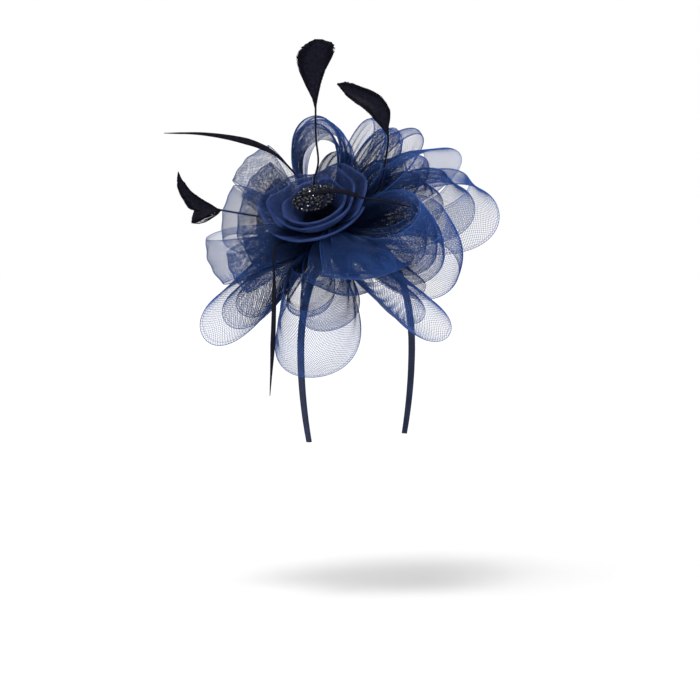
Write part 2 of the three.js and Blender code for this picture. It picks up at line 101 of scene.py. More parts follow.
# Bulge of the middle of a tip as a share of its reach, the power by which it fades from the tip, and the
# loops with a bulge of their own
TIP_BULGE = 0.06
TIP_BULGE_FADE = 6
TIP_BULGES = {
    "tongue": 0.22,
    "right_lower": 0.08,
    "bottom": 0.10,
    "right": -0.02,
    "right_rear": 0.0,
    "low_left": -0.05,
}

# Pleats across the braid of a loop: their number, their greatest height, the share of it that is gone at the
# tip, how soon it goes, their drift from root to root, and the power by which they flatten at the edges
PLEATS = 3
PLEAT_HEIGHT = 0.0022
PLEAT_FADE = 0.75
PLEAT_FADE_RATE = 1.6
PLEAT_DRIFT = 2
PLEAT_EDGE_FADE = 0.5

# Collar gathered under the loops: turns round the spool, reach, height of its root, fall to its rim, rise
# over its turns, folds in a turn and their height, and its width as a share of the braid's
COLLAR_TURNS = 1.9
COLLAR_REACH = 0.036
COLLAR_ROOT = 0.010
COLLAR_FALL = -0.002
COLLAR_STEP = 0.006
COLLAR_FOLDS = 11
COLLAR_FOLD_HEIGHT = 0.0045
COLLAR_WIDTH_SHARE = 0.8

# Its folds: the power by which they grow to the rim, and the height, pace and start of a slower wave in them
COLLAR_FLARE = 1.2
COLLAR_SWAY = 0.5
COLLAR_SWAY_PACE = 0.37
COLLAR_SWAY_START = 1

# Plies of a loop, nested in each other: size as a share of the loop's, pitch of the threads, and turn and
# lift from the loop in degrees. A loop has PLIES, some with MORE_PLIES, or it has OWN_PLIES in their place.
Ply = namedtuple("Ply", "size pitch turn lift")
PLIES = [Ply(1, THREAD_PITCH, 0, 0), Ply(0.68, INNER_PITCH, 9, 7)]
MORE_PLIES = {
    "right_lower": [Ply(0.87, CLOSE_PITCH, -4, 13), Ply(0.78, CLOSE_PITCH, 4, 9)],
    "tongue": [Ply(0.92, INNER_PITCH, 15, -9), Ply(0.84, INNER_PITCH, -13, -12)],
    "left_lower": [Ply(0.84, INNER_PITCH, 8, -7)],
    "low_left": [Ply(0.80, INNER_PITCH, 6, 4)],
    "bottom": [Ply(0.55, INNER_PITCH, -8, 8)],
    "low_right": [Ply(0.80, INNER_PITCH, -3, 3)],
}
OWN_PLIES = {
    "crown": [Ply(1, THREAD_PITCH, 0, 0), Ply(0.93, INNER_PITCH, 2, 1)],
    "top": [Ply(1, OPEN_PITCH, 0, 0), Ply(0.95, OPEN_PITCH, -8, -3)],
    "top_right": [Ply(1, OPEN_PITCH, 0, 0), Ply(0.92, OPEN_PITCH, 7, 3)],
    "crown_rear": [Ply(1, THREAD_PITCH, 0, 0), Ply(0.60, CLOSE_PITCH, -13, 6)],
    "left_upper": [
        Ply(1, LEFT_PITCH, 0, 0), Ply(0.84, THREAD_PITCH, 4, -4), Ply(0.60, INNER_PITCH, 9, 7)],
    "left_middle": [
        Ply(1, LEFT_PITCH, 0, 0), Ply(0.84, THREAD_PITCH, -5, -4), Ply(0.60, INNER_PITCH, 9, 7)],
    "right": [
        Ply(0.975, WIDE_PITCH, 0, 0), Ply(0.84, INNER_PITCH, 4, 3), Ply(0.66, INNER_PITCH, 9, 7)],
}

# Rose: width of its braid, radius of its threads, and how far out from the middle of its wall the two faces
# of a cup lie
ROSE_BRAID_WIDTH = 0.030
ROSE_THREAD_RADIUS = 0.00016
CUP_FACES = (0.0005, -0.0006)

# Selvages of a loop: turn and lift in degrees, reach and half width as shares of the flower's radius, and
# roll in degrees. root is the height of the root as a share of the spool's, gather how far the fullness
# lies towards the tip.
Selvage = namedtuple("Selvage", "turn lift reach belly roll")
Loop = namedtuple("Loop", "name root gather front back")
LOOPS = [
    Loop("crown", 0.42, 2, Selvage(85, 44, 0.64, 0.155, 0), Selvage(86, 30, 0.7, 0.155, 0)),
    Loop("crown_rear", 0.18, 2, Selvage(92, 14, 0.84, 0.16, 0), Selvage(90, -1, 1.06, 0.16, 0)),
    Loop("left_upper", 0.29, 1.2, Selvage(115, 30, 0.62, 0.107, 70), Selvage(143, 25, 0.71, 0.117, 70)),
    Loop("left_middle", 0.33, 1.1, Selvage(151, 28, 0.56, 0.106, 70), Selvage(182, 20, 0.59, 0.125, 76)),
    Loop("left_lower", 0.57, 1.1, Selvage(-164, 20, 0.66, 0.132, 55), Selvage(-145, 15, 0.68, 0.141, 43)),
    Loop("low_left", 0.2, 4, Selvage(-138, 6, 0.47, 0.12, 0), Selvage(-160, -17, 0.89, 0.2, -10)),
    Loop("bottom", 0.28, 2, Selvage(-98, -4, 0.65, 0.18, 0), Selvage(-101, -20, 0.89, 0.28, 0)),
    Loop("tongue", 0.61, 1.3, Selvage(-87, 13, 0.58, 0.089, 76), Selvage(-46, 12, 0.68, 0.084, 78)),
    Loop("low_right", 0.22, 4, Selvage(-59, 0, 0.61, 0.11, 0), Selvage(-44, -25, 0.94, 0.13, 0)),
    Loop("right_lower", 0.5, 2, Selvage(-22, 2, 0.79, 0.2, 15), Selvage(-15, -25, 0.79, 0.22, 15)),
    Loop("right", 0.2, 3, Selvage(12, 0, 0.88, 0.14, 32), Selvage(21, -18, 1.09, 0.24, 36)),
    Loop("right_rear", 0.18, 2, Selvage(45, -4, 0.81, 0.11, 20), Selvage(50, -12, 1.19, 0.16, 20)),
    Loop("right_upper", 0.42, 2, Selvage(11, 25, 0.66, 0.09, 0), Selvage(33, 7, 0.72, 0.08, 0)),
    Loop("top_right", 0.42, 3, Selvage(39, 19, 0.69, 0.1, 0), Selvage(51, 7, 0.93, 0.11, 0)),
    Loop("top", 0.34, 2.5, Selvage(59, 22, 0.72, 0.08, 0), Selvage(68, 6, 0.91, 0.09, 0)),
]

# Spread of a loop half way out and back, as a share of its tip's width, and the gap between its two roots
LOOP_PUFF = 0.1
ROOT_GAP = 0.003

# Rolled cups of the rose: radii of foot and lip and height of the lip as shares of the rose's, growth of
# the radius over one turn, the turn in degrees where the roll starts, pitch of the threads and height of
# the ruffle along the lip
Cup = namedtuple("Cup", "name foot lip height growth start pitch ruffle")
CUPS = [
    Cup("inner", 0.32, 0.58, 0.95, 0.06, 60, 0.0011, 0.0018),
    Cup("middle", 0.395, 0.78, 1.0, 0.07, 200, 0.0013, 0.0030),
    Cup("outer", 0.48, 1.0, 0.88, 0.08, 320, 0.0015, 0.0038),
]
ROSE_TURNS = 1.06

# Ruffles of a lip: broad and fine ones in a turn and their shares of the height, and the power by which they
# grow up to the lip
BROAD_RUFFLES = 3
BROAD_RUFFLE_SHARE = 0.65
FINE_RUFFLES = 7
FINE_RUFFLE_SHARE = 0.35
RUFFLE_GROWTH = 2

# Cut beads at the heart of the rose: radius, angle from the middle to the rim of the hole, spacing, random
# lift, random way out, random turn round the rose, and least and greatest size
BEAD_RADIUS = 0.00135
BEAD_HOLE_ANGLE = 76
BEAD_SPACING = 0.0025
BEAD_JITTER = 0.0006
BEAD_WAY_JITTER = 0.0004
BEAD_TURN_JITTER = 0.06
BEAD_SIZES = (0.85, 1.1)

# Field of the beads: radius, stretch along u, place of its middle along v, rise of its dome, and roundness of
# that, 1 for half an ellipse
BEAD_FIELD_RADIUS = 0.0142
BEAD_FIELD_STRETCH = 1.18
BEAD_MIDDLE = 0.005
BEAD_DOME_RISE = 0.006
BEAD_DOME_ROUND = 0.96

# Stem that carries the beads: height, radius and place of its middle along v
BEAD_STEM_HEIGHT = 0.015
BEAD_STEM_RADIUS = 0.005
BEAD_STEM_MIDDLE = 0.003

# Pad under the beads: its way below their middles as a share of a bead, radius of its first ring and of its
# hem as shares of the field's, radius of its neck as a share of the stem's, drops of hem, neck and stem from
# the rim, and the tucks in it and their depth
PAD_DEPTH = 0.6
PAD_FIRST = 0.03
PAD_HEM = 0.93
PAD_NECK = 1.25
PAD_HEM_DROP = 0.0012
PAD_NECK_DROP = 0.0022
PAD_STEM_DROP = 0.005
PAD_TUCKS = 10
PAD_TUCK_DEPTH = 0.04

# Feathers: wall of the solids' cups, radius of a quill, way of its middle from the spool as a share of that,
# and its way from the inner cup at the lip as a share of that at the foot
WALL = 0.001
QUILL_RADIUS = 0.0008
QUILL_SEAT = 0.2
QUILL_CUP_INSET = 1.3

# Quill: radius at its end as a share, the share of its length over which it swells from there, and its taper
# to the tip with the power of that
QUILL_END = 0.35
QUILL_SWELL = 0.08
QUILL_TAPER = 0.72
QUILL_TAPER_POWER = 1.5

# Barbs of a plume: spacing, radius, taper, slants of their two layers, random length, least length, least
# vane that has them, how far before it they may start as a share, powers of their way along and across,
# arch of their middle, random arch, and droop of their ends
BARB_SPACING = 0.00052
BARB_RADIUS = 0.00020
BARB_TAPER = 0.55
BARB_SLANTS = (1.1, 1.45)
BARB_RAGGED = 0.02
BARB_LEAST = 0.0004
VANE_LEAST = 0.0006
VANE_START = 0.98
BARB_SWEEP = 1.35
BARB_SPREAD = 0.9
BARB_ARCH = 0.00025
BARB_ARCH_JITTER = 0.00012
BARB_DROOP = 0.0009

# Vane of a plume: thickness of its film and the film's share of the width, slope of its sides, where its torn
# tip starts, teeth of the tear and their depth as a share, and the turn and lift of the side that it faces
VANE_FILM = 0.0004
VANE_FILM_WIDTH = 0.97
VANE_DIHEDRAL = 0.30
TORN_FROM = 0.93
TORN_TEETH = 4
TORN_DEPTH = 0.20
VANE_FACING_TURN = -76
VANE_FACING_LIFT = 42

# Blade of a biot: thickness, how far the middle of its section draws in where it is flat, and the points of
# the section as shares of half the width and half the thickness
BLADE_THICKNESS = 0.0012
BLADE_GROOVE = 0.3
BLADE_SECTION = [
    (1, 0), (0.75, 0.6), (0.35, 0.95), (0, 0.6), (-0.35, 0.95), (-0.75, 0.6),
    (-1, 0), (-0.75, -0.6), (-0.35, -0.9), (0, -1), (0.35, -0.9), (0.75, -0.6),
]

# One row per feather. rest is the turn and height of its root on the spool, or the points where it rests on
# the rose's lip. route holds shares of the flower's radius along u, v and the axis. vane holds the share of
# the way along, and the shares of the width to its left and right.
Plume = namedtuple("Plume", "name width root rest route vane")
FEATHERS = [
    Plume("plume_tall", 0.033, "rose", (),
        [(0.05, 0.27, 0.47), (0.07, 0.36, 0.6), (0.11, 0.49, 0.76), (0.14, 0.58, 0.87),
         (0.2, 0.75, 1.07)],
        [(0.575, 0, 0), (0.66, 0.09, 0.06), (0.75, 0.28, 0.14), (0.83, 0.43, 0.24), (0.89, 0.48, 0.36),
         (0.95, 0.40, 0.48), (0.98, 0.22, 0.44), (1, 0.04, 0.12)]),
    Plume("plume_curved", 0.017, "spool", (17, 0.8),
        [(0.38, 0.12, 0.26), (0.44, 0.18, 0.34), (0.48, 0.24, 0.41), (0.52, 0.34, 0.5),
         (0.52, 0.4, 0.56), (0.5, 0.46, 0.63), (0.45, 0.51, 0.68), (0.35, 0.57, 0.73),
         (0.26, 0.62, 0.79)],
        [(0.56, 0, 0), (0.62, 0.24, 0.12), (0.69, 0.48, 0.42), (0.77, 0.5, 0.5), (0.85, 0.42, 0.44),
         (0.93, 0.28, 0.38), (0.965, 0.16, 0.32), (0.985, 0.08, 0.12), (1, 0.04, 0.04)]),
    Plume("plume_heart", 0.017, "spool", (158, 0.16),
        [(-0.31, 0.22, 0.11), (-0.5, 0.28, 0.15), (-0.72, 0.33, 0.22), (-0.81, 0.35, 0.26),
         (-0.88, 0.4, 0.33), (-0.91, 0.46, 0.4), (-0.91, 0.5, 0.45)],
        [(0.63, 0, 0), (0.7, 0.52, 0.22), (0.735, 0.92, 0.28), (0.752, 1.05, 0.3), (0.764, 0.28, 0.3),
         (0.776, 0.44, 0.3), (0.80, 0.45, 0.3), (0.84, 0.34, 0.26), (0.92, 0.24, 0.2),
         (1, 0.02, 0.02)]),
    Plume("biot_long", 0.0055, "spool", (104, 0.62),
        [(-0.08, 0.3, 0.23), (-0.23, 0.43, 0.47), (-0.32, 0.47, 0.54), (-0.44, 0.48, 0.62),
         (-0.66, 0.5, 0.71), (-0.9, 0.5, 0.78)],
        [(0.3, 0, 0), (0.48, 0.4, 0.4), (0.58, 0.5, 0.5), (0.75, 0.3, 0.3), (1, 0.03, 0.03)]),
    Plume("biot_across", 0.0042, "lip", [(1.8, -0.42, -0.6), (1.35, -0.3, -0.2), (1, -0.22, 0)],
        [(0.18, -0.04, 0.46), (-0.12, -0.016, 0.47)],
        [(0.3, 0, 0), (0.5, 0.5, 0.5), (0.75, 0.42, 0.42), (1, 0.03, 0.03)]),
    Plume("biot_hanging", 0.004, "spool", (-123, 0.72),
        [(-0.26, -0.3, 0.33), (-0.29, -0.48, 0.24), (-0.32, -0.63, 0.13), (-0.36, -0.81, 0),
         (-0.44, -1.04, -0.23)],
        [(0.3, 0, 0), (0.5, 0.42, 0.42), (0.75, 0.5, 0.5), (1, 0.03, 0.03)]),
]


def unit(rows):
    """Rows of vectors at length one"""
    return rows / np.maximum(np.linalg.norm(rows, axis=-1, keepdims=True), 1e-12)


# Frame of the flower


def band_point(share, side):
    """Point of the band's inner face at a share of the way from the crown to a tip"""
    if share < BAND_BEND_SHARE:
        angle = share / BAND_BEND_SHARE * math.pi / 2
        drop = BAND_CROWN_DEPTH * (1 - math.cos(angle))
        return np.array([side * BAND_HALF_WIDTH * math.sin(angle), 0, -drop])
    leg = (share - BAND_BEND_SHARE) / (1 - BAND_BEND_SHARE)
    return np.array([
        side * (BAND_HALF_WIDTH - BAND_TIP_TUCK * leg * leg), 0, -BAND_CROWN_DEPTH - BAND_LEG_LENGTH * leg])


def band_normal(share, side):
    """Outward normal of the band at a share"""
    along = band_point(min(share + BAND_STEP, 1), side) - band_point(max(share - BAND_STEP, 0), side)
    return unit(np.array([-along[2] * side, 0, along[0] * side]))


def flower_axes():
    """Rows u, v and axis of the flower's frame"""
    out, forward = math.radians(FLOWER_LEAN_OUT), math.radians(FLOWER_LEAN_FORWARD)
    axis = np.array([
        -math.sin(out) * math.cos(forward), -math.sin(forward), math.cos(out) * math.cos(forward)])
    turn = math.radians(FLOWER_TURN)
    u = np.array([math.cos(turn), math.sin(turn), 0])
    u = unit(u - axis * (u @ axis))
    return np.array([u, np.cross(axis, u), axis])


AXES = flower_axes()
seat_share = BASE_BAND_ANGLE / 90 * BAND_BEND_SHARE
FOOT = band_point(seat_share, -1) + band_normal(seat_share, -1) * BAND_THICKNESS
FOOT = FOOT + AXES[2] * (abs(AXES[2][1]) * BAND_WIDTH / 2 + SEAT_GAP)


def placed(points):
    """Points of the flower's frame in the object's frame"""
    return points @ AXES + FOOT


# Meshes


def add_object(name, points, quads, triangles=(), material=None, smooth=True):
    """Mesh object from an array of points, an array of quads and an array of triangles"""
    quads = np.asarray(quads, np.int32).reshape(-1, 4)
    triangles = np.asarray(triangles, np.int32).reshape(-1, 3)
    mesh = bpy.data.meshes.new(name)
    points = np.asarray(points, np.float32).reshape(-1, 3)
    mesh.vertices.add(len(points))
    mesh.vertices.foreach_set("co", points.ravel())
    corners = np.concatenate([quads.ravel(), triangles.ravel()])
    starts = np.concatenate([np.arange(len(quads)) * 4, len(quads) * 4 + np.arange(len(triangles)) * 3])
    mesh.loops.add(len(corners))
    mesh.loops.foreach_set("vertex_index", corners)
    mesh.polygons.add(len(starts))
    mesh.polygons.foreach_set("loop_start", starts.astype(np.int32))
    mesh.polygons.foreach_set("use_smooth", np.full(len(starts), smooth))
    mesh.update(calc_edges=True)
    mesh.validate()
    obj = bpy.data.objects.new(name, mesh)
    bpy.context.scene.collection.objects.link(obj)
    if material is not None:
        mesh.materials.append(material)
    return obj


class Parts:
    """Collects points and faces of many small bodies for one mesh"""

    def __init__(self):
        self.points, self.quads, self.triangles, self.count = [], [], [], 0

    def add(self, points, quads, triangles=()):
        """Adds one body, its faces counted from its own first point"""
        self.points.append(np.asarray(points).reshape(-1, 3))
        self.quads.append(np.asarray(quads, np.int64).reshape(-1, 4) + self.count)
        self.triangles.append(np.asarray(triangles, np.int64).reshape(-1, 3) + self.count)
        self.count += len(self.points[-1])

    def object(self, name, material, smooth=True):
        """One mesh object of all the bodies"""
        return add_object(name, np.concatenate(self.points), np.concatenate(self.quads),
                          np.concatenate(self.triangles), material, smooth)


def tubes(paths, ups, radius, sides=3):
    """Closed tubes along paths of shape (tubes, steps, 3); radius is a number or an array of that shape"""
    along = unit(np.gradient(paths, axis=1))
    side = unit(np.cross(along, ups))
    up = np.cross(side, along)
    count, steps = paths.shape[:2]
    radius = np.broadcast_to(np.asarray(radius, float), (count, steps))[:, :, None, None]
    angle = 2 * np.pi * np.arange(sides) / sides
    ring = side[:, :, None, :] * np.cos(angle)[:, None] + up[:, :, None, :] * np.sin(angle)[:, None]
    points = paths[:, :, None, :] + radius * ring
    index = np.arange(count * steps * sides).reshape(count, steps, sides)
    a, b = index[:, :-1], index[:, 1:]
    quads = np.stack([a, np.roll(a, -1, 2), np.roll(b, -1, 2), b], -1)
    first, last = index[:, 0], index[:, -1]
    fans = [np.stack([first[:, 0], first[:, k + 1], first[:, k]], -1) for k in range(1, sides - 1)]
    fans += [np.stack([last[:, 0], last[:, k], last[:, k + 1]], -1) for k in range(1, sides - 1)]
    return points.reshape(-1, 3), quads.reshape(-1, 4), np.concatenate(fans)


# Crin ribbons


class Ribbon:
    """A braid laid on a grid of points, rows along its length, with lookup by length and width"""

    def __init__(self, grid, width):
        self.grid = grid
        self.width = width
        middle = grid.mean(axis=1)
        steps = np.linalg.norm(np.diff(middle, axis=0), axis=1)
        self.run = np.concatenate([[0], np.cumsum(steps)])
        self.length = self.run[-1]
        along, across = np.gradient(grid, axis=0), np.gradient(grid, axis=1)
        self.normal = unit(np.cross(along, across))

    def at(self, x, y):
        """Points and normals at lengths x and widths y"""
        row = np.interp(x, self.run, np.arange(len(self.run)))
        column = np.clip(y / self.width, 0, 1) * (self.grid.shape[1] - 1)
        i = np.minimum(row.astype(int), len(self.run) - 2)
        j = np.minimum(column.astype(int), self.grid.shape[1] - 2)
        s, t = (row - i)[..., None], (column - j)[..., None]

        def mixed(field):
            low = field[i, j] * (1 - t) + field[i, j + 1] * t
            high = field[i + 1, j] * (1 - t) + field[i + 1, j + 1] * t
            return low * (1 - s) + high * s

        return mixed(self.grid), unit(mixed(self.normal))


def bend_knots(ribbon):
    """Lengths where all threads of a braid bend together, closer round its most bent row"""
    along = unit(np.diff(ribbon.grid.mean(axis=1), axis=0))
    bend = np.linalg.norm(np.diff(along, axis=0), axis=1)
    tip = ribbon.run[1 + np.argmax(np.convolve(bend, np.ones(KNOT_WINDOW), "same"))]
    knots, x = [], 0
    while x < ribbon.length:
        knots.append(x)
        near = smooth_step(1 - abs(x - tip) / KNOT_REACH)
        x += KNOT_STEP + (KNOT_STEP_AT_TIP - KNOT_STEP) * near
    return np.array(knots)


def braid_threads(ribbon, pitch, radius):
    """Paths and normals of the two families of diagonal threads of a braid, in groups of one point count"""
    step = pitch * math.sqrt(2)
    knots = bend_knots(ribbon)
    groups = {}
    for family, lift in ((1, radius), (-1, -radius)):
        start = -ribbon.width if family == 1 else 0
        end = ribbon.length if family == 1 else ribbon.length + ribbon.width
        offset = np.arange(start + step / 2, end, step)
        if family == 1:
            low, high = np.maximum(0, -offset), np.minimum(ribbon.width, ribbon.length - offset)
        else:
            low, high = np.maximum(0, offset - ribbon.length), np.minimum(ribbon.width, offset)
        for x0, y0, y1 in zip(offset, low, high):
            if y1 - y0 < pitch:
                continue
            inner = (knots - x0) * family
            inner = np.sort(inner[(inner > y0 + KNOT_CLEAR) & (inner < y1 - KNOT_CLEAR)])
            y = np.concatenate([[y0], inner, [y1]])
            if len(y) == 2:
                y = np.array([y0, (y0 + y1) / 2, y1])
            groups.setdefault(len(y), []).append((x0 + family * y, y, np.full(len(y), lift)))
    for rows in groups.values():
        x, y, lift = (np.array(column) for column in zip(*rows))
        points, normals = ribbon.at(x, y)
        yield points + normals * lift[..., None], normals


def edge_threads(ribbon, insets, samples=90):
    """Paths and normals of lengthwise threads, at insets from both edges of a braid"""
    x = np.broadcast_to(np.linspace(0, ribbon.length, samples), (2 * len(insets), samples))
    y = np.array([[inset, ribbon.width - inset] for inset in insets]).reshape(-1, 1)
    return ribbon.at(x, np.broadcast_to(y, x.shape))


def smooth_step(x):
    """Rise from 0 to 1 with level ends"""
    x = np.clip(x, 0, 1)
    return x * x * (3 - 2 * x)


def loop_axes(selvage):
    """Directions of a selvage, ahead to its tip and to its side"""
    turn, lift, roll = (math.radians(a) for a in (selvage.turn, selvage.lift, selvage.roll))
    ahead = np.array([math.cos(lift) * math.cos(turn), math.cos(lift) * math.sin(turn), math.sin(lift)])
    level = np.array([-math.sin(turn), math.cos(turn), 0])
    side = level * math.cos(roll) + np.cross(ahead, level) * math.sin(roll)
    return ahead, side


def selvage_points(root, selvage, gather, share, size):
    """Teardrop of one selvage, from the root out to the tip and back"""
    ahead, side = loop_axes(selvage)
    x = np.pi * share
    widest = (gather + 1) / (gather + 2)
    peak = 2 * math.sqrt(1 - widest) * math.sqrt(widest) ** (gather + 1)
    out = np.sin(x) ** 2
    apart = np.sin(2 * x) * np.sin(x) ** gather / peak
    return root + (np.outer(out, ahead) * selvage.reach - np.outer(apart, side) * selvage.belly) * (
        FLOWER_RADIUS * size)


def loop_ribbon(loop, size=1, rows=150, columns=25):
    """Braid of one ply of a loop, gathered at its root into lengthwise pleats that open towards the tip"""
    share = np.linspace(0, 1, rows)
    middle = math.radians((loop.front.turn + loop.back.turn) / 2)
    turn = middle + (share - 0.5) * ROOT_GAP / SPOOL_RADIUS
    radius = SPOOL_RADIUS + SEAT_GAP + BRAID_CLEAR
    root_height = loop.root * SPOOL_HEIGHT
    root = np.stack([radius * np.cos(turn), radius * np.sin(turn), np.full(rows, root_height)], -1)
    gather = loop.gather * FULLNESS
    front = selvage_points(root, loop.front, gather, share, size)
    back = selvage_points(root, loop.back, gather, share, size)
    front[:, 2] += min(ROOT_WIDTH / 2, ROOT_HIGHEST - root_height)
    back[:, 2] -= min(ROOT_WIDTH / 2, root_height - ROOT_LOWEST)
    front_tip = loop_axes(loop.front)[0] * FLOWER_RADIUS * loop.front.reach * size
    back_tip = loop_axes(loop.back)[0] * FLOWER_RADIUS * loop.back.reach * size
    tips = back_tip - front_tip
    spread = LOOP_PUFF * np.sin(2 * np.pi * share) ** 2
    across = np.linspace(0, 1, columns)
    grid = front[:, None] * (1 - across)[:, None] + back[:, None] * across[:, None]
    grid = grid + tips * ((across - 0.5) * 2 * spread[:, None])[..., None]
    bulge = np.outer(np.sin(np.pi * share) ** TIP_BULGE_FADE, np.sin(np.pi * across) - 0.5)
    bulge = bulge * TIP_BULGES.get(loop.name, TIP_BULGE)
    grid = grid + (front_tip + back_tip) / 2 * bulge[..., None]
    local = np.linalg.norm(front - back, axis=1)
    excess = np.maximum(BRAID_WIDTH / local - 1, 0)
    height = np.minimum(PLEAT_HEIGHT, local / (math.pi * PLEATS) * np.sqrt(excess))
    fade = 1 - PLEAT_FADE * smooth_step((1 - np.abs(1 - 2 * share)) * PLEAT_FADE_RATE)
    phase = rng.uniform(0, 2 * np.pi)
    pleat = np.sin(2 * np.pi * PLEATS * across[None, :] + phase + PLEAT_DRIFT * share[:, None])
    pleat *= np.sin(np.pi * across)[None, :] ** PLEAT_EDGE_FADE
    normal = unit(np.cross(np.gradient(grid, axis=0), np.gradient(grid, axis=1)))
    grid = grid + normal * (pleat * (height * fade)[:, None])[..., None]
    return Ribbon(placed(grid), BRAID_WIDTH)


def braid_object(name, ribbons, material, pitches, radius=THREAD_RADIUS):
    """Mesh of all threads of one or more braids, with corded edges"""
    parts = Parts()
    for ribbon, pitch in zip(ribbons, pitches):
        for paths, ups in braid_threads(ribbon, pitch, radius):
            parts.add(*tubes(paths, ups, radius))
        paths, ups = edge_threads(ribbon, [0.0])
        parts.add(*tubes(paths, ups, EDGE_RADIUS, 4))
        paths, ups = edge_threads(ribbon, [EDGE_RIB_INSET])
        parts.add(*tubes(paths, ups, THREAD_RADIUS, 3))
    return parts.object(name, material)


def declare_braid(obj, ribbons):
    """Attaches an open braid to the root, and works out its threads' area, half of their surface, as a share
    of the braid's
    """
    length = sum(ribbon.length for ribbon in ribbons)
    width = ribbons[0].width
    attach(obj, "root")
    share = sum(face.area for face in obj.data.polygons) / 2 / (length * width)


# Materials


def material(name):
    """New material with its node tree and its shader"""
    made = bpy.data.materials.new(name)
    made.use_nodes = True
    tree = made.node_tree
    shader = tree.nodes["Principled BSDF"]
    return made, tree, shader


def node(tree, kind, **values):
    """New node with properties, or values of its inputs, by name"""
    made = tree.nodes.new(kind)
    for key, value in values.items():
        if hasattr(made, key):
            setattr(made, key, value)
        else:
            made.inputs[key.replace("_", " ")].default_value = value
    return made


def ramp(tree, source, stops):
    """Colour from a value, by stops of place and colour"""
    made = tree.nodes.new("ShaderNodeValToRGB")
    elements = made.color_ramp.elements
    while len(elements) < len(stops):
        elements.new(0.5)
    for element, (place, colour) in zip(elements, stops):
        element.position = place
        element.color = (*colour, 1)
    tree.links.new(source, made.inputs["Fac"])
    return made.outputs["Color"]


# Crin: range of its roughness, share of the fine mottling in its colour, and the ways from the spool's
# middle between which its painted shade fades out. The colour is darkened towards the spool, standing in for
# the shade of the overlapping layers there.
CRIN_ROUGHNESS = (0.24, 0.42)
CRIN_FINE_SHARE = 0.45
PAINTED_SHADE_FROM = 0.052
PAINTED_SHADE_TO = 0.108


def thread_material(name, dark, light, root_painted_shade):
    """Nylon braid: colour wanders along the threads, painted shade darkens it towards the root, and it has a
    glassy gloss
    """
    made, tree, shader = material(name)
    place = node(tree, "ShaderNodeTexCoord")
    broad = node(tree, "ShaderNodeTexNoise", Scale=60.0, Detail=3.0)
    fine = node(tree, "ShaderNodeTexNoise", Scale=1400.0, Detail=2.0)
    tree.links.new(place.outputs["Object"], broad.inputs["Vector"])
    tree.links.new(place.outputs["Object"], fine.inputs["Vector"])
    both = node(tree, "ShaderNodeMath", operation="MULTIPLY_ADD")
    both.inputs[1].default_value = CRIN_FINE_SHARE
    tree.links.new(fine.outputs["Fac"], both.inputs[0])
    rest = node(tree, "ShaderNodeMath", operation="MULTIPLY")
    rest.inputs[1].default_value = 1 - CRIN_FINE_SHARE
    tree.links.new(broad.outputs["Fac"], rest.inputs[0])
    tree.links.new(rest.outputs[0], both.inputs[2])
    colour = ramp(tree, both.outputs[0], [(0.35, dark), (0.65, light)])
    away = node(tree, "ShaderNodeVectorMath", operation="DISTANCE")
    away.inputs[1].default_value = FOOT + AXES[2] * SPOOL_HEIGHT / 2
    tree.links.new(place.outputs["Object"], away.inputs[0])
    # Painted shade: the colour is scaled darker nearer the spool's middle, standing in for the shade where
    # the layers overlap
    shade = node(tree, "ShaderNodeMapRange")
    shade.inputs["From Min"].default_value = PAINTED_SHADE_FROM
    shade.inputs["From Max"].default_value = PAINTED_SHADE_TO
    shade.inputs["To Min"].default_value = root_painted_shade
    tree.links.new(away.outputs["Value"], shade.inputs["Value"])
    painted_shade_colour = node(tree, "ShaderNodeVectorMath", operation="SCALE")
    tree.links.new(colour, painted_shade_colour.inputs[0])
    tree.links.new(shade.outputs["Result"], painted_shade_colour.inputs["Scale"])
    tree.links.new(painted_shade_colour.outputs["Vector"], shader.inputs["Base Color"])
    gloss = node(tree, "ShaderNodeMapRange")
    gloss.inputs["To Min"].default_value = CRIN_ROUGHNESS[0]
    gloss.inputs["To Max"].default_value = CRIN_ROUGHNESS[1]
    tree.links.new(fine.outputs["Fac"], gloss.inputs["Value"])
    tree.links.new(gloss.outputs["Result"], shader.inputs["Roughness"])
    shader.inputs["Specular IOR Level"].default_value = 0.15
    return made


# The last value is the painted shade at the spool: the share of the colour that is left there
CRIN = thread_material("crin_navy", (0.017, 0.058, 0.25), (0.050, 0.150, 0.52), 0.26)
ROSE_CRIN = thread_material("crin_rose_navy", (0.016, 0.034, 0.135), (0.056, 0.108, 0.34), 0.9)


def mottled_material(name, scale, detail, stops, roughness, specular):
    """Material with a mottled colour, and its tree, shader, coordinates and mottling for more nodes"""
    made, tree, shader = material(name)
    place = node(tree, "ShaderNodeTexCoord")
    mottling = node(tree, "ShaderNodeTexNoise", Scale=scale, Detail=detail)
    tree.links.new(place.outputs["Object"], mottling.inputs["Vector"])
    colour = ramp(tree, mottling.outputs["Fac"], stops)
    tree.links.new(colour, shader.inputs["Base Color"])
    shader.inputs["Roughness"].default_value = roughness
    shader.inputs["Specular IOR Level"].default_value = specular
    return made, tree, shader, place, mottling


def add_bump(tree, shader, height, strength, distance):
    """Relief from a texture's value"""
    bump = node(tree, "ShaderNodeBump", Strength=strength, Distance=distance)
    tree.links.new(height.outputs["Fac"], bump.inputs["Height"])
    tree.links.new(bump.outputs["Normal"], shader.inputs["Normal"])


def satin_material():
    """Satin ribbon of the headband, with a fine weave across it"""
    stops = [(0.3, (0.006, 0.011, 0.040)), (0.7, (0.014, 0.024, 0.075))]
    made, tree, shader, place, _ = mottled_material("navy_satin", 90.0, 4.0, stops, 0.42, 0.25)
    weave = node(
        tree, "ShaderNodeTexWave", Scale=900.0, Distortion=0.6, wave_type="BANDS", bands_direction="Y")
    tree.links.new(place.outputs["Object"], weave.inputs["Vector"])
    add_bump(tree, shader, weave, 0.25, 0.0002)
    return made


def feather_material():
    """Dyed feather, near black"""
    stops = [(0.3, (0.002, 0.002, 0.005)), (0.75, (0.010, 0.010, 0.022))]
    return mottled_material("feather_dark", 500.0, 3.0, stops, 0.5, 0.07)[0]


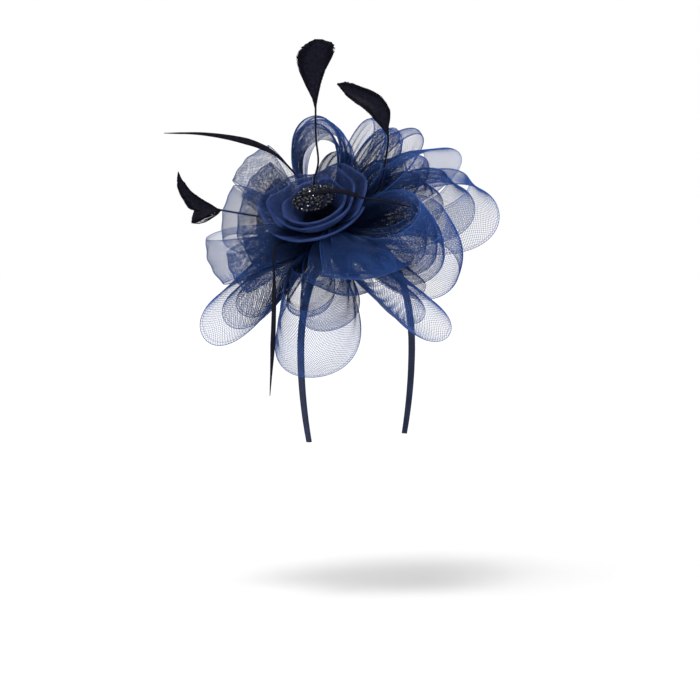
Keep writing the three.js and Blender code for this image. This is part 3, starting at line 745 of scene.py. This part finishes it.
def bead_material():
    """Dark cut glass"""
    stops = [(0.4, (0.002, 0.002, 0.005)), (0.65, (0.006, 0.008, 0.022))]
    made, _, shader, _, _ = mottled_material("bead_gloss", 260.0, 1.0, stops, 0.06, 0.5)
    shader.inputs["IOR"].default_value = 1.75
    return made


def cloth_material():
    """Felted cloth of the base and the bead pad"""
    stops = [(0.3, (0.004, 0.006, 0.018)), (0.7, (0.012, 0.017, 0.045))]
    made, tree, shader, _, felt = mottled_material("base_cloth_navy", 900.0, 5.0, stops, 0.85, 0.15)
    add_bump(tree, shader, felt, 0.5, 0.0003)
    return made


CLOTH = cloth_material()
SATIN = satin_material()
FEATHER = feather_material()
BEAD = bead_material()


# Pieces


def collar_ribbon(rows=260, columns=17):
    """Braid gathered round the spool under the loops, in folds that open outwards"""
    share = np.linspace(0, 1, rows)[:, None]
    across = np.linspace(0, 1, columns)[None, :]
    turn = share * 2 * np.pi * COLLAR_TURNS
    radius = SPOOL_RADIUS + SEAT_GAP + COLLAR_REACH * across
    sway = np.sin(turn * COLLAR_FOLDS * COLLAR_SWAY_PACE + COLLAR_SWAY_START)
    fold = np.sin(turn * COLLAR_FOLDS) + COLLAR_SWAY * sway
    height = COLLAR_ROOT + COLLAR_FALL * across
    height = height + COLLAR_FOLD_HEIGHT * fold * across ** COLLAR_FLARE + COLLAR_STEP * share
    grid = np.stack([radius * np.cos(turn), radius * np.sin(turn), height], -1)
    return Ribbon(placed(grid), BRAID_WIDTH * COLLAR_WIDTH_SHARE)


def make_collar():
    """Collar that fills the gaps between the roots of the loops"""
    ribbon = collar_ribbon()
    obj = braid_object("braid_collar", [ribbon], CRIN, [INNER_PITCH])
    declare_braid(obj, [ribbon])


def turned(loop, ply):
    """Loop with both selvages turned and lifted as a ply is"""
    front, back = (
        selvage._replace(turn=selvage.turn + ply.turn, lift=selvage.lift + ply.lift)
        for selvage in (loop.front, loop.back))
    return loop._replace(front=front, back=back)


def make_loops():
    """One piece for each loop, with all its plies"""
    for loop in LOOPS:
        plies = OWN_PLIES.get(loop.name, PLIES + MORE_PLIES.get(loop.name, []))
        ribbons = [loop_ribbon(turned(loop, ply), ply.size) for ply in plies]
        obj = braid_object("braid_" + loop.name, ribbons, CRIN, [ply.pitch for ply in plies])
        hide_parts("crin_loop_" + loop.name)
        declare_braid(obj, ribbons)


def cup_ribbon(cup, out, rows=120, columns=17):
    """One face of a rolled cup, set out from the middle of its solid"""
    share = np.linspace(0, 1, rows)[:, None]
    rise = np.linspace(0, 1, columns)[None, :]
    turn = math.radians(cup.start) + share * ROSE_TURNS * 2 * np.pi
    flare = (rise + np.sin(rise * np.pi / 2)) / 2
    radius = ROSE_RADIUS * (cup.foot + (cup.lip - cup.foot) * flare + cup.growth * share) + out
    broad = BROAD_RUFFLE_SHARE * np.sin(turn * BROAD_RUFFLES + cup.start)
    fine = FINE_RUFFLE_SHARE * np.sin(turn * FINE_RUFFLES)
    ruffle = cup.ruffle * rise ** RUFFLE_GROWTH * (broad + fine)
    height = SPOOL_HEIGHT + SEAT_GAP + BRAID_CLEAR + ROSE_HEIGHT * cup.height * rise + ruffle
    grid = np.stack([(radius + ruffle) * np.cos(turn), (radius + ruffle) * np.sin(turn), height], -1)
    return Ribbon(placed(grid), ROSE_BRAID_WIDTH)


def make_rose():
    """One piece for each rolled cup, with both its faces"""
    for cup in CUPS:
        ribbons = [cup_ribbon(cup, out) for out in CUP_FACES]
        obj = braid_object(
            "braid_rose_" + cup.name, ribbons, ROSE_CRIN, [cup.pitch] * 2, ROSE_THREAD_RADIUS)
        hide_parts("rose_" + cup.name)
        declare_braid(obj, ribbons)


# Beads


def bead_profile(sides=8, stacks=5):
    """Points and quads of one small cut bead, its hole upright"""
    turn = 2 * np.pi * np.arange(sides) / sides
    bend = np.radians(np.linspace(-BEAD_HOLE_ANGLE, BEAD_HOLE_ANGLE, stacks))
    points = BEAD_RADIUS * np.stack([
        np.outer(np.cos(turn), np.cos(bend)), np.outer(np.sin(turn), np.cos(bend)),
        np.outer(np.ones(sides), np.sin(bend))], -1)
    index = np.arange(sides * stacks).reshape(sides, stacks)
    ahead = np.roll(index, -1, 0)
    quads = np.stack([index, ahead, np.roll(ahead, -1, 1), np.roll(index, -1, 1)], -1)
    return points.reshape(-1, 3), quads.reshape(-1, 4)


def dome_height(radius):
    """Height of the bead pad over the flower's foot, at a distance from its middle"""
    share = np.clip(radius / BEAD_FIELD_RADIUS, 0, 1)
    dome = BEAD_DOME_RISE * np.sqrt(1 - share ** 2 * BEAD_DOME_ROUND)
    return SPOOL_HEIGHT + SEAT_GAP + BEAD_STEM_HEIGHT + dome


def make_beads():
    """Small beads in rings, sewn close together on a dark pad"""
    bead, quads = bead_profile()
    parts = Parts()
    rings = int(BEAD_FIELD_RADIUS / BEAD_SPACING)
    for ring in range(rings + 1):
        radius = ring * BEAD_FIELD_RADIUS / rings
        count = max(1, int(2 * math.pi * radius / BEAD_SPACING))
        for i in range(count):
            angle = 2 * math.pi * (i + 0.5 * ring) / count + rng.normal() * BEAD_TURN_JITTER
            away = max(radius + rng.normal() * BEAD_WAY_JITTER, 0)
            centre = np.array([
                away * BEAD_FIELD_STRETCH * math.cos(angle), BEAD_MIDDLE + away * math.sin(angle),
                dome_height(away) + abs(rng.normal()) * BEAD_JITTER])
            turn = unit(rng.normal(size=(3, 3)))
            first = turn[0]
            second = unit(np.cross(first, turn[1]))
            basis = np.array([first, second, np.cross(first, second)])
            parts.add(placed(centre + bead @ basis * rng.uniform(*BEAD_SIZES)), quads)
    beads = parts.object("beads", BEAD, smooth=False)
    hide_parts("bead_cluster")
    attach(beads, "root")
    make_pad()


def make_pad(rings=9, sides=40):
    """Dark pad under the beads, gathered round its rim to a stem"""
    parts = Parts()
    turn = 2 * np.pi * np.arange(sides) / sides
    over = [(share * BEAD_FIELD_RADIUS, dome_height(share * BEAD_FIELD_RADIUS) - BEAD_RADIUS * PAD_DEPTH)
            for share in np.linspace(PAD_FIRST, 1, rings)]
    rim = dome_height(BEAD_FIELD_RADIUS) - BEAD_RADIUS * PAD_DEPTH
    foot = SPOOL_HEIGHT + SEAT_GAP
    under = [
        (BEAD_FIELD_RADIUS * PAD_HEM, rim - PAD_HEM_DROP),
        (BEAD_STEM_RADIUS * PAD_NECK, rim - PAD_NECK_DROP),
        (BEAD_STEM_RADIUS, rim - PAD_STEM_DROP),
        (BEAD_STEM_RADIUS, foot),
    ]
    grid = []
    for step, (radius, height) in enumerate(over + under):
        tuck = PAD_TUCK_DEPTH * np.sin(turn * PAD_TUCKS) * max(0, step - rings + 2) / 3
        middle = BEAD_MIDDLE if step < rings + 1 else BEAD_STEM_MIDDLE
        stretch = BEAD_FIELD_STRETCH if step < rings + 1 else 1
        grid.append(np.stack([
            stretch * radius * (1 + tuck) * np.cos(turn), middle + radius * (1 + tuck) * np.sin(turn),
            np.full(sides, height)], -1))
    grid = np.array(grid)
    index = np.arange(len(grid) * sides).reshape(len(grid), sides)
    low, high = index[:-1], index[1:]
    quads = np.stack([low, high, np.roll(high, -1, 1), np.roll(low, -1, 1)], -1)
    caps = [(0, k, k + 1) for k in range(1, sides - 1)]
    last = (len(grid) - 1) * sides
    caps += [(last, last + k + 1, last + k) for k in range(1, sides - 1)]
    parts.add(placed(grid.reshape(-1, 3)), quads, caps)
    pad = parts.object("bead_pad", CLOTH)
    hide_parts("bead_cluster")
    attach(pad, "root")


# Feathers


def smooth_curve(points, count):
    """Centripetal curve through points, in even steps of its length"""
    points = np.asarray(points, float)
    points = np.concatenate([[2 * points[0] - points[1]], points, [2 * points[-1] - points[-2]]])
    rows = []
    t = np.linspace(0, 1, 60)[:, None]
    for a, b, c, d in zip(points, points[1:], points[2:], points[3:]):
        ab, bc, cd = (math.sqrt(np.linalg.norm(q - p)) for p, q in ((a, b), (b, c), (c, d)))
        start = ((b - a) / ab - (c - a) / (ab + bc) + (c - b) / bc) * bc
        end = ((c - b) / bc - (d - b) / (bc + cd) + (d - c) / cd) * bc
        rows.append((2 * t ** 3 - 3 * t ** 2 + 1) * b + (t ** 3 - 2 * t ** 2 + t) * start
                    + (3 * t ** 2 - 2 * t ** 3) * c + (t ** 3 - t ** 2) * end)
    dense = np.concatenate(rows)
    run = np.concatenate([[0], np.cumsum(np.linalg.norm(np.diff(dense, axis=0), axis=1))])
    even = np.linspace(0, run[-1], count)
    return np.stack([np.interp(even, run, dense[:, k]) for k in range(3)], -1), run[-1]


def is_plume(row):
    """Whether a feather has a vane of barbs"""
    return row.name.startswith("plume")


def feather_start(feather):
    """Points that a feather's route begins with, where it is carried"""
    if feather.root == "rose":
        inner = CUPS[0]
        inset = WALL / 2 + SEAT_GAP + QUILL_RADIUS
        return [(0, ROSE_RADIUS * inner.foot - inset, SPOOL_HEIGHT + SEAT_GAP * 2),
                (0, ROSE_RADIUS * inner.lip - inset * QUILL_CUP_INSET, SPOOL_HEIGHT + ROSE_HEIGHT)]
    if feather.root == "lip":
        rest = SPOOL_HEIGHT + SEAT_GAP * 2 + WALL + ROSE_HEIGHT * CUPS[2].height + QUILL_RADIUS
        return [(ROSE_RADIUS * u, ROSE_RADIUS * v, rest + ROSE_HEIGHT * rise) for u, v, rise in feather.rest]
    turn, height = feather.rest
    radius = SPOOL_RADIUS + SEAT_GAP + QUILL_RADIUS * QUILL_SEAT
    return [(radius * math.cos(math.radians(turn)), radius * math.sin(math.radians(turn)),
             height * SPOOL_HEIGHT)]


class Feather:
    """Middle line of a feather with its side directions and the widths of its vane"""

    def __init__(self, row, count=240):
        start = feather_start(row)
        route = [tuple(FLOWER_RADIUS * value for value in point) for point in row.route]
        self.points, self.length = smooth_curve(start + route, count)
        self.share = np.linspace(0, 1, count)
        self.slope = VANE_DIHEDRAL if is_plume(row) else 0
        along = unit(np.gradient(self.points, axis=0))
        facing = loop_axes(Selvage(VANE_FACING_TURN, VANE_FACING_LIFT, 0, 0, 0))[0]
        self.right = -unit(np.cross(facing, along))
        self.over = np.cross(along, self.right)
        table = np.array([(0, 0, 0)] + row.vane)
        blur = np.ones(3) / 3  # softens the corners of the table
        widths = [np.convolve(np.pad(np.interp(self.share, table[:, 0], table[:, side]), 1, mode="edge"),
                              blur, "valid") * row.width for side in (1, 2)]
        torn = np.maximum(0, (self.share - TORN_FROM) / (1 - TORN_FROM)) * TORN_TEETH
        torn = 1 - TORN_DEPTH * (torn % 1) * (torn > 0) * is_plume(row)
        self.left_width, self.right_width = widths[0] * torn, widths[1] * torn

    def mixed(self, field, share):
        """Rows of a field of the middle line at shares of the length"""
        return np.stack([np.interp(share, self.share, field[:, k]) for k in range(3)], -1)

    def at(self, share, across):
        """Points of the vane at shares of the length, moved across to the right"""
        across = across[..., None]
        points = self.mixed(self.points, share) + self.mixed(self.right, share) * across
        return points + self.mixed(self.over, share) * (-np.abs(across) * self.slope)

    def over_at(self, share):
        """Directions over the vane at shares of the length"""
        return self.mixed(self.over, share)

    def rachis(self, steps=90, sides=8):
        """Tapered quill along the whole feather"""
        share = np.linspace(0, 1, steps)
        swell = np.minimum(1, QUILL_END + share / QUILL_SWELL * (1 - QUILL_END))
        radius = QUILL_RADIUS * swell * (1 - QUILL_TAPER * share ** QUILL_TAPER_POWER)
        path = self.at(share, np.zeros(steps))
        return tubes(path[None], self.over_at(share)[None], radius[None], sides)

    def barbs(self, side, slant):
        """Barbs on one side, that leave the quill towards the tip and end on the vane's outline"""
        width = self.right_width if side > 0 else self.left_width
        first = np.argmax(width > VANE_LEAST) / len(width)
        count = int((1 - first) * self.length / BARB_SPACING)
        end = np.linspace(first, 1, count)
        reach = np.interp(end, self.share, width)
        reach = reach * (1 + rng.normal(size=count) * BARB_RAGGED)
        start = np.maximum(end - slant * reach / self.length, first * VANE_START)
        keep = reach > BARB_LEAST
        start, end, reach = start[keep, None], end[keep, None], reach[keep, None]
        t = np.linspace(0, 1, 8)
        share = start + (end - start) * t ** BARB_SWEEP
        arch = rng.normal(size=(len(start), 1)) * BARB_ARCH_JITTER + BARB_ARCH
        paths = self.at(share, side * reach * t ** BARB_SPREAD)
        over = self.over_at(share)
        paths = paths + over * (arch * np.sin(np.pi * t) - BARB_DROOP * t ** 2)[..., None]
        taper = BARB_RADIUS * (1 - BARB_TAPER * t ** 3)
        return tubes(paths, over, np.broadcast_to(taper, share.shape))


def make_plume(row):
    """Trimmed plume: quill, two layers of barbs on each side, and a thin film that closes the vane"""
    feather = Feather(row)
    parts = Parts()
    points, quads, triangles = feather.rachis()
    parts.add(placed(points), quads, triangles)
    for side in (-1, 1):
        for slant in BARB_SLANTS:
            points, quads, triangles = feather.barbs(side, slant)
            parts.add(placed(points), quads, triangles)
    add_blade(parts, feather, VANE_FILM_WIDTH, VANE_FILM / BLADE_THICKNESS)
    return parts.object(row.name + "_barbs", FEATHER)


def make_biot(row):
    """Stripped biot: a slender stiff blade with a groove along its middle"""
    parts = Parts()
    add_blade(parts, Feather(row), 1, 1)
    return parts.object(row.name + "_blade", FEATHER)


def add_blade(parts, feather, width, depth, steps=120):
    """Closed blade over the outline of a feather, at shares of its width and of a blade's thickness"""
    share = np.linspace(0, 1, steps)
    end = np.minimum(1, np.minimum(share, 1 - share) / QUILL_SWELL)
    quill = QUILL_RADIUS * (QUILL_END + (1 - QUILL_END) * end)
    left = np.maximum(quill, np.interp(share, feather.share, feather.left_width) * width)
    right = np.maximum(quill, np.interp(share, feather.share, feather.right_width) * width)
    flat = np.minimum(1, (left + right) / (2 * QUILL_RADIUS) - 1)
    half = (QUILL_RADIUS * (1 - flat) + BLADE_THICKNESS / 2 * depth * flat) * end
    ring = []
    for across, up in BLADE_SECTION:
        reach = right if across > 0 else left
        up = up * (1 - BLADE_GROOVE * flat) if across == 0 else up
        ring.append(feather.at(share, across * reach) + feather.over_at(share) * (up * half)[:, None])
    grid = np.stack(ring, 1)
    sides = grid.shape[1]
    index = np.arange(steps * sides).reshape(steps, sides)
    low, high = index[:-1], index[1:]
    quads = np.stack([low, np.roll(low, -1, 1), np.roll(high, -1, 1), high], -1)
    caps = [(0, k + 1, k) for k in range(1, sides - 1)]
    last = (steps - 1) * sides
    caps += [(last, last + k, last + k + 1) for k in range(1, sides - 1)]
    parts.add(placed(grid.reshape(-1, 3)), quads, caps)


def make_feathers():
    """One piece for each feather"""
    for row in FEATHERS:
        piece = make_plume(row) if is_plume(row) else make_biot(row)
        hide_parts(row.name)
        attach(piece, "root")


make_loops()
make_collar()
make_rose()
make_beads()
make_feathers()
for node_name, finish in (("headband", SATIN), ("base", CLOTH)):
    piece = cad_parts[node_name]
    piece.data.materials.clear()
    piece.data.materials.append(finish)


# Camera: azimuth from the wearer's front and elevation in degrees, distance from its target, and the width
# that it sees there
VIEW_AZIMUTH = -50
VIEW_ELEVATION = 2
VIEW_DISTANCE = 1.8
VIEW_WIDTH = 0.574
VIEW_TARGET = Vector((-0.0067, 0.0029, -0.0942))

# Suns: name, azimuth and elevation as the camera's, strength, and angle of the soft edge in degrees
SUNS = [
    ("key", -85, 50, 0.8, 35),
    ("fill", 10, 35, 0.6, 40),
    ("glint", -62, 58, 1.2, 15),
]

# Light of the room, light of the backdrop that is seen, and height and reach of the floor
ROOM_LIGHT = 0.55
BACKDROP_LIGHT = 1.0
FLOOR_HEIGHT = -0.30
FLOOR_REACH = 60


def direction_to(azimuth, elevation):
    """Direction from the object to what stands at an azimuth and elevation"""
    a, e = math.radians(azimuth), math.radians(elevation)
    return Vector((math.sin(a) * math.cos(e), -math.cos(a) * math.cos(e), math.sin(e)))


def make_camera():
    """Camera at the photo's angle"""
    back = direction_to(VIEW_AZIMUTH, VIEW_ELEVATION)
    data = bpy.data.cameras.new("camera")
    data.sensor_width = 36
    data.lens = data.sensor_width * VIEW_DISTANCE / VIEW_WIDTH
    camera = bpy.data.objects.new("camera", data)
    bpy.context.scene.collection.objects.link(camera)
    camera.location = VIEW_TARGET + back * VIEW_DISTANCE
    camera.rotation_mode = "QUATERNION"
    camera.rotation_quaternion = (-back).to_track_quat("-Z", "Y")
    bpy.context.scene.camera = camera


def soft_sun(name, azimuth, elevation, strength, angle):
    """Sun with a soft edge"""
    data = bpy.data.lights.new(name, "SUN")
    data.energy = strength
    data.angle = math.radians(angle)
    lamp = bpy.data.objects.new(name, data)
    bpy.context.scene.collection.objects.link(lamp)
    lamp.rotation_mode = "QUATERNION"
    lamp.rotation_quaternion = (-direction_to(azimuth, elevation)).to_track_quat("-Z", "Y")


def make_world():
    """White backdrop for the eye, and a dimmer white room for the light"""
    world = bpy.data.worlds.new("studio")
    world.use_nodes = True
    tree = world.node_tree
    sky = tree.nodes["Background"]
    sky.inputs["Color"].default_value = (1.0, 1.0, 1.0, 1)
    sky.inputs["Strength"].default_value = ROOM_LIGHT
    backdrop = tree.nodes.new("ShaderNodeBackground")
    backdrop.inputs["Color"].default_value = (1.0, 1.0, 1.0, 1)
    backdrop.inputs["Strength"].default_value = BACKDROP_LIGHT
    seen = tree.nodes.new("ShaderNodeLightPath")
    mix = tree.nodes.new("ShaderNodeMixShader")
    tree.links.new(seen.outputs["Is Camera Ray"], mix.inputs[0])
    tree.links.new(sky.outputs[0], mix.inputs[1])
    tree.links.new(backdrop.outputs[0], mix.inputs[2])
    tree.links.new(mix.outputs[0], tree.nodes["World Output"].inputs["Surface"])
    bpy.context.scene.world = world


def make_stage():
    """World, floor and suns"""
    make_world()
    ends = ((-1, -1), (1, -1), (1, 1), (-1, 1))
    corners = [(x * FLOOR_REACH, y * FLOOR_REACH, FLOOR_HEIGHT) for x, y in ends]
    made, tree, shader = material("pale_floor")
    grain = node(tree, "ShaderNodeTexNoise", Scale=3.0, Detail=2.0)
    tone = ramp(tree, grain.outputs["Fac"], [(0.3, (0.90, 0.90, 0.90)), (0.7, (0.93, 0.93, 0.93))])
    tree.links.new(tone, shader.inputs["Base Color"])
    shader.inputs["Roughness"].default_value = 0.9
    shader.inputs["Specular IOR Level"].default_value = 0.0
    floor = add_object("floor", corners, [(0, 1, 2, 3)], material=made)
    for sun in SUNS:
        soft_sun(*sun)


make_camera()
make_stage()
bpy.context.scene.view_settings.view_transform = "Standard"
